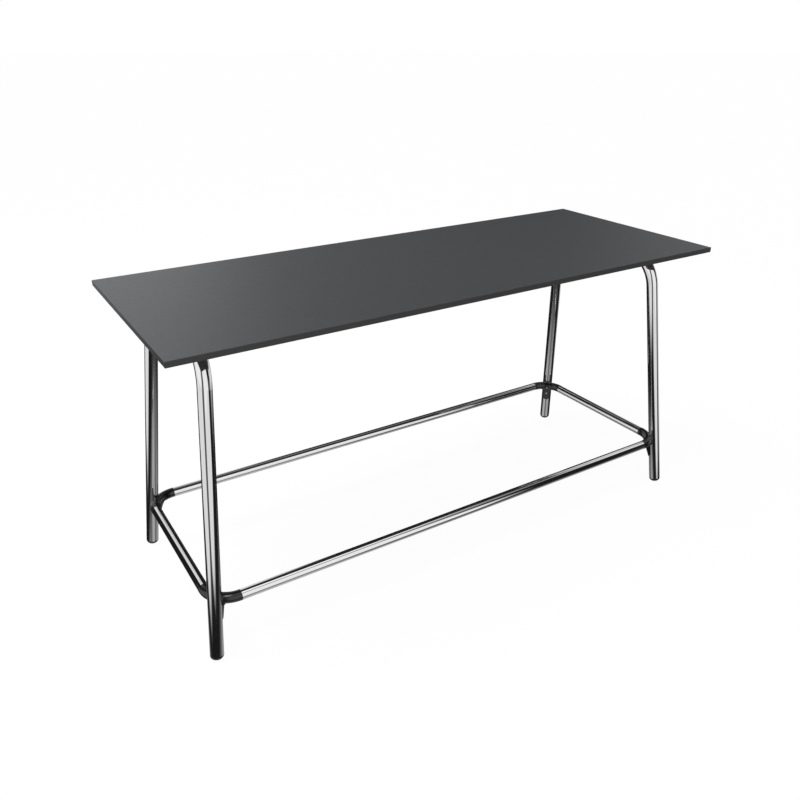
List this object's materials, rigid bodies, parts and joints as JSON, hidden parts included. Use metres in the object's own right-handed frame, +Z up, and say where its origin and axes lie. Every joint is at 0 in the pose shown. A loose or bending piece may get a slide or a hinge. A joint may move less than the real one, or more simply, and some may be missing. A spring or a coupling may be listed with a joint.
{
  "type": "standing meeting table",
  "caption": "Rectangular standing-height meeting table with dark grey top, splayed bent-tube chrome end frames and a chrome foot ring held by black corner connectors.",
  "frame": {"origin": "on the floor, under the middle of the tabletop", "axes": "+X along the tabletop's length to the right, +Y across it to the rear, +Z up"},
  "size_m": [1.8, 0.7, 0.9],
  "materials": {
    "top_laminate": "satin anthracite grey laminate",
    "backing_laminate": "plain dark balancing laminate",
    "board_core": "pressed wood-fibre core",
    "edge_plastic": "satin anthracite plastic edge",
    "chrome_tube": "polished chrome plate on steel tube",
    "black_plastic": "fine-grained black moulded plastic",
    "plate_steel": "chrome-plated flat steel with a weld bead",
    "black_steel": "black powder coat",
    "zinc_steel": "bright zinc plate"
  },
  "bodies": {
    "root": {"connector_screws": "zinc_steel", "corner_connector_front_left": "black_plastic", "corner_connector_front_right": "black_plastic", "corner_connector_rear_left": "black_plastic", "corner_connector_rear_right": "black_plastic", "edge_band_front": "edge_plastic", "edge_band_left": "edge_plastic", "edge_band_rear": "edge_plastic", "edge_band_right": "edge_plastic", "end_frame_left": "chrome_tube", "end_frame_right": "chrome_tube", "foot_rail_front": "chrome_tube", "foot_rail_left": "chrome_tube", "foot_rail_rear": "chrome_tube", "foot_rail_right": "chrome_tube", "glide_front_left": "black_plastic", "glide_front_right": "black_plastic", "glide_rear_left": "black_plastic", "glide_rear_right": "black_plastic", "leg_rivet_nuts": "zinc_steel", "mounting_plate_front_left": "plate_steel", "mounting_plate_front_right": "plate_steel", "mounting_plate_rear_left": "plate_steel", "mounting_plate_rear_right": "plate_steel", "plate_screws": "zinc_steel", "stiffener_front": "black_steel", "stiffener_rear": "black_steel", "stiffener_screws": "zinc_steel", "tabletop_backing": "backing_laminate", "tabletop_core": "board_core", "tabletop_laminate": "top_laminate"}
  },
  "joints": []
}
